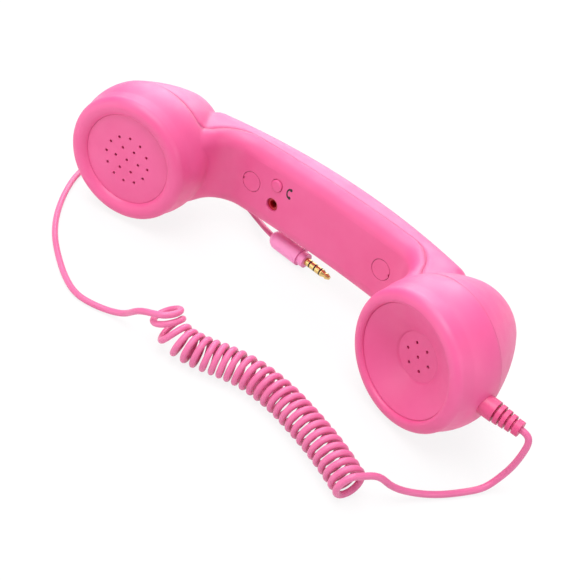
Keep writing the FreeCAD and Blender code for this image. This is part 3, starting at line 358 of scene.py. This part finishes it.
def moulded(name, low, high, roughness, grain, edge=0.0, sheen=0.0, metallic=0.0, shine=0.5,
            edge_from=None):
    """Finish with a drifting tint and gloss, a grain of (scale, depth) and softened edges."""
    material, tree_nodes, links, shader = new_material(name)
    grain_scale, grain_depth = grain
    tint = mottle(tree_nodes, links, TINT_SCALE, low, high)
    links.new(tint.outputs["Color"], shader.inputs["Base Color"])
    gloss = mottle(tree_nodes, links, GLOSS_SCALE,
                   grey(roughness - GLOSS_DRIFT), grey(roughness + GLOSS_DRIFT))
    links.new(gloss.outputs["Color"], shader.inputs["Roughness"])
    bump = tree_nodes.new("ShaderNodeBump")
    bump.inputs["Strength"].default_value = GRAIN_STRENGTH
    bump.inputs["Distance"].default_value = grain_depth
    height = mottle(tree_nodes, links, grain_scale, grey(0.0), grey(1.0), GRAIN_DETAIL)
    links.new(height.outputs["Color"], bump.inputs["Height"])
    if edge:
        bevel = tree_nodes.new("ShaderNodeBevel")
        bevel.samples = EDGE_SAMPLES
        bevel.inputs["Radius"].default_value = edge
        if edge_from:
            links.new(edge_from(tree_nodes, links, edge), bevel.inputs["Radius"])
        links.new(bevel.outputs["Normal"], bump.inputs["Normal"])
    links.new(bump.outputs["Normal"], shader.inputs["Normal"])
    shader.inputs["Sheen Weight"].default_value = sheen
    shader.inputs["Sheen Roughness"].default_value = SHEEN_ROUGHNESS
    shader.inputs["Metallic"].default_value = metallic
    shader.inputs["Specular IOR Level"].default_value = shine
    return material


def give(material, *names):
    """Put the finish on the named CAD pieces."""
    for name in names:
        nodes[name].data.materials.clear()
        nodes[name].data.materials.append(material)
    print(material.name, "on", ", ".join(names))


print("gloss drifts by", GLOSS_DRIFT, "either way")

# %% [markdown]
# ## Casing
#
# The casing has a soft-touch coat: matte, a little velvety at grazing angles, in a warm pink. Where
# the bells run into the grip, the real moulding has a broad hollow fillet, and elsewhere its edges
# are fine. So the Bevel node's radius is steered by place: three Map Range nodes mark the two
# creases by their X and Y.

# %% Casing
CREASE = 3.5 * MM
CREASE_SPANS = (("reach", 44.0, 50.0), ("reach", 78.0, 70.0), ("depth", -12.0, -6.0))
CASING_EDGE = 0.6 * MM
INSERT_EDGE = 0.25 * MM
CASING_TINTS = (linear(222, 74, 137), linear(225, 81, 143))
CASING_GRAIN = (5200.0, 0.03 * MM)
INSERT_GRAIN = (5200.0, 0.02 * MM)
COAT_ROUGHNESS = 0.5
COAT_SHEEN = 0.06
COAT_SHINE = 0.85


def crease_radius(tree_nodes, links, fine):
    """Edge radius that is broad where the bells run into the grip, and fine elsewhere."""
    place = tree_nodes.new("ShaderNodeTexCoord")
    parts = tree_nodes.new("ShaderNodeSeparateXYZ")
    links.new(place.outputs["Object"], parts.inputs["Vector"])
    reach = tree_nodes.new("ShaderNodeMath")
    reach.operation = "ABSOLUTE"
    links.new(parts.outputs["X"], reach.inputs[0])
    sources = {"reach": reach.outputs["Value"], "depth": parts.outputs["Y"]}
    share = None
    for source, start, stop in CREASE_SPANS:
        step = tree_nodes.new("ShaderNodeMapRange")
        step.inputs["From Min"].default_value = start * MM
        step.inputs["From Max"].default_value = stop * MM
        links.new(sources[source], step.inputs["Value"])
        if share is None:
            share = step.outputs["Result"]
            continue
        both = tree_nodes.new("ShaderNodeMath")
        both.operation = "MULTIPLY"
        links.new(share, both.inputs[0])
        links.new(step.outputs["Result"], both.inputs[1])
        share = both.outputs["Value"]
    radius = tree_nodes.new("ShaderNodeMapRange")
    radius.inputs["To Min"].default_value = fine
    radius.inputs["To Max"].default_value = CREASE
    links.new(share, radius.inputs["Value"])
    return radius.outputs["Result"]


pink_casing = moulded("soft_touch_pink", *CASING_TINTS, COAT_ROUGHNESS, CASING_GRAIN, CASING_EDGE,
                      COAT_SHEEN, shine=COAT_SHINE, edge_from=crease_radius)
pink_insert = moulded("moulded_pink", *CASING_TINTS, COAT_ROUGHNESS, INSERT_GRAIN, INSERT_EDGE,
                      COAT_SHEEN, shine=COAT_SHINE)
give(pink_casing, "front_shell", "back_shell")
give(pink_insert, "earpiece_grille", "mouthpiece_cup", "screw_caps", "answer_button")

# %% [markdown]
# ## Cord, strain relief and plug
#
# These are softer and shinier than the casing, and their pinks differ from it and from each other:
# the cord is paler, the ribbed relief deeper, and the plug's moulding palest. The socket is lined
# in red.

# %% Cord, strain relief and plug
SKIN_GRAIN = (2600.0, 0.02 * MM)
LINING_GRAIN = (2600.0, 0.01 * MM)
RELIEF_EDGE = 0.3 * MM
PLUG_EDGE = 0.4 * MM
CORD_SHEEN = 0.1
pink_cord = moulded("cord_pink", linear(214, 96, 146), linear(219, 104, 153), 0.42, SKIN_GRAIN,
                    sheen=CORD_SHEEN)
pink_relief = moulded("relief_pink", linear(211, 69, 123), linear(216, 76, 129), 0.45, SKIN_GRAIN,
                      RELIEF_EDGE)
pink_plug = moulded("plug_pink", linear(238, 142, 194), linear(242, 150, 200), 0.36, SKIN_GRAIN,
                    PLUG_EDGE)
socket_red = moulded("socket_lining", linear(172, 14, 36), linear(186, 20, 44), 0.4, LINING_GRAIN)
give(pink_cord, "cord_tail")
give(pink_relief, "strain_relief")
give(pink_plug, "plug_body", "plug_collar")
give(socket_red, "jack_socket")
cord.data.materials.append(pink_cord)

# %% [markdown]
# ## Metals
#
# The plug's contacts are flash gold over brass, so they are paler than solid gold. Screws, magnet,
# capsule can and cord clamp are plated steel, and the voice coil is enamelled copper wire.

# %% Metals
METAL_GRAIN = (3000.0, 0.004 * MM)
SMALL_EDGE = 0.2 * MM
gold = moulded("contact_gold", linear(214, 178, 108), linear(228, 196, 128), 0.28, METAL_GRAIN,
               SMALL_EDGE, metallic=1.0)
steel = moulded("plated_steel", linear(150, 150, 154), linear(176, 176, 180), 0.3, METAL_GRAIN,
                SMALL_EDGE, metallic=1.0)
copper = moulded("copper_winding", linear(170, 96, 58), linear(196, 116, 72), 0.35, METAL_GRAIN,
                 metallic=1.0)
give(gold, "plug_sleeve", "plug_ring_back", "plug_ring_front", "plug_tip")
give(steel, "speaker_magnet", "shell_screws", "board_screws", "microphone_capsule", "cord_anchor")
give(copper, "voice_coil")

# %% [markdown]
# ## Inner pieces and black plastic
#
# What the casing hides still gets its own finish, for when it is opened: black mouldings, a white
# switch plunger, a green circuit board, a film cone, red wires, a red rubber boot and red cloth
# behind the earpiece's holes.

# %% Inner pieces and black plastic
FINE_GRAIN = (3000.0, 0.02 * MM)
BOARD_GRAIN = (900.0, 0.02 * MM)
FILM_GRAIN = (1200.0, 0.02 * MM)
CLOTH_GRAIN = (2400.0, 0.1 * MM)
black = moulded("black_plastic", linear(22, 20, 21), linear(32, 29, 30), 0.5, FINE_GRAIN,
                SMALL_EDGE)
white = moulded("white_plastic", linear(205, 203, 196), linear(222, 220, 213), 0.45, FINE_GRAIN,
                SMALL_EDGE)
board_green = moulded("board_resist", linear(14, 82, 40), linear(22, 98, 50), 0.28, BOARD_GRAIN)
film = moulded("cone_film", linear(160, 156, 146), linear(180, 176, 166), 0.4, FILM_GRAIN)
wire_red = moulded("wire_red", linear(150, 18, 20), linear(172, 28, 28), 0.4, SKIN_GRAIN)
rubber_red = moulded("boot_rubber", linear(138, 16, 42), linear(154, 24, 52), 0.6, FINE_GRAIN)
cloth = moulded("screen_cloth", linear(138, 20, 48), linear(156, 28, 58), 0.85, CLOTH_GRAIN)
give(black, "plug_insulators", "switch_body", "speaker_frame", "speaker_gasket")
give(rubber_red, "microphone_boot")
give(white, "switch_plunger")
give(board_green, "circuit_board")
give(film, "speaker_diaphragm")
give(wire_red, "speaker_wires", "microphone_wires")
give(cloth, "ear_screen")
sign.data.materials.append(black)

# %% [markdown]
# ## Light
#
# Large soft lamps stand in for a photographer's light boxes: one overhead, one behind that shines
# along the upper sides, a low one from the front left and a weak one from the right. A sun lamp
# would be simpler, but its shadows would be harder. The world adds an even fill, and is white where
# the camera sees it.

# %% Light
LAMPS = (
    # name, place and size in metres, power in watts
    ("overhead", (-0.1, -0.2, 0.9), 0.8, 8.6),
    ("back", (-0.5, 0.72, 0.6), 1.1, 11.0),
    ("front_left", (-0.4, -0.7, 0.18), 0.7, 2.0),
    ("right", (0.7, -0.1, 0.35), 0.5, 1.3),
)
FILL = 0.37


def light_box(name, place, size, power):
    """Round soft lamp that faces the middle of the handset."""
    lamp = bpy.data.lights.new(name, "AREA")
    lamp.shape = "DISK"
    lamp.size = size
    lamp.energy = power
    piece = bpy.data.objects.new(name, lamp)
    piece.location = place
    target = Vector((0, 0, AXIS_HEIGHT * MM))
    piece.rotation_euler = (target - Vector(place)).to_track_quat("-Z", "Y").to_euler()
    scene.collection.objects.link(piece)


for lamp in LAMPS:
    light_box(*lamp)
world = bpy.data.worlds.new("studio")
scene.world = world
world.use_nodes = True
sky_nodes, sky_links = world.node_tree.nodes, world.node_tree.links
surround = sky_nodes["Background"]
surround.inputs["Color"].default_value = grey(1.0)
surround.inputs["Strength"].default_value = FILL
backdrop = sky_nodes.new("ShaderNodeBackground")
backdrop.inputs["Color"].default_value = grey(1.0)
sky_path = sky_nodes.new("ShaderNodeLightPath")
sky_blend = sky_nodes.new("ShaderNodeMixShader")
sky_links.new(sky_path.outputs["Is Camera Ray"], sky_blend.inputs["Fac"])
sky_links.new(surround.outputs["Background"], sky_blend.inputs[1])
sky_links.new(backdrop.outputs["Background"], sky_blend.inputs[2])
sky_links.new(sky_blend.outputs["Shader"], sky_nodes["World Output"].inputs["Surface"])
print(len(LAMPS), "lamps and a fill of", FILL)

# %% [markdown]
# ## Table
#
# The table is white. Lit brightly enough to look white it would throw too much light on the
# handset, so for the camera and for reflections most of its white is its own glow, and the rest
# keeps the handset's soft shadow. Far from the handset, where the lamps hardly reach, the glow is
# all of it.

# %% Table
TABLE_SIZE = 8.0
TABLE_DROP = 0.2 * MM
TABLE_WHITE = 0.8
TABLE_ROUGHNESS = 0.8
TABLE_GLOW = 0.86
GLOW_NEAR = 0.35
GLOW_FAR = 1.1

bpy.ops.object.select_all(action="DESELECT")
bpy.ops.mesh.primitive_plane_add(size=TABLE_SIZE, location=(0, 0, -TABLE_DROP))
floor = bpy.context.object
floor.name = "floor"
material, tree_nodes, links, shader = new_material("white_table")
shader.inputs["Base Color"].default_value = grey(TABLE_WHITE)
shader.inputs["Roughness"].default_value = TABLE_ROUGHNESS
glow = tree_nodes.new("ShaderNodeEmission")
path = tree_nodes.new("ShaderNodeLightPath")
seen = tree_nodes.new("ShaderNodeMath")
seen.operation = "MAXIMUM"
links.new(path.outputs["Is Camera Ray"], seen.inputs[0])
links.new(path.outputs["Is Glossy Ray"], seen.inputs[1])
place = tree_nodes.new("ShaderNodeTexCoord")
distance = tree_nodes.new("ShaderNodeVectorMath")
distance.operation = "LENGTH"
links.new(place.outputs["Object"], distance.inputs[0])
strength = tree_nodes.new("ShaderNodeMapRange")
strength.inputs["From Min"].default_value = GLOW_NEAR
strength.inputs["From Max"].default_value = GLOW_FAR
strength.inputs["To Min"].default_value = TABLE_GLOW
links.new(distance.outputs["Value"], strength.inputs["Value"])
share = tree_nodes.new("ShaderNodeMath")
share.operation = "MULTIPLY"
links.new(seen.outputs["Value"], share.inputs[0])
links.new(strength.outputs["Result"], share.inputs[1])
blend = tree_nodes.new("ShaderNodeMixShader")
links.new(share.outputs["Value"], blend.inputs["Fac"])
links.new(shader.outputs["BSDF"], blend.inputs[1])
links.new(glow.outputs["Emission"], blend.inputs[2])
links.new(blend.outputs["Shader"], tree_nodes["Material Output"].inputs["Surface"])
floor.data.materials.append(material)
print("table of", TABLE_SIZE, "m")
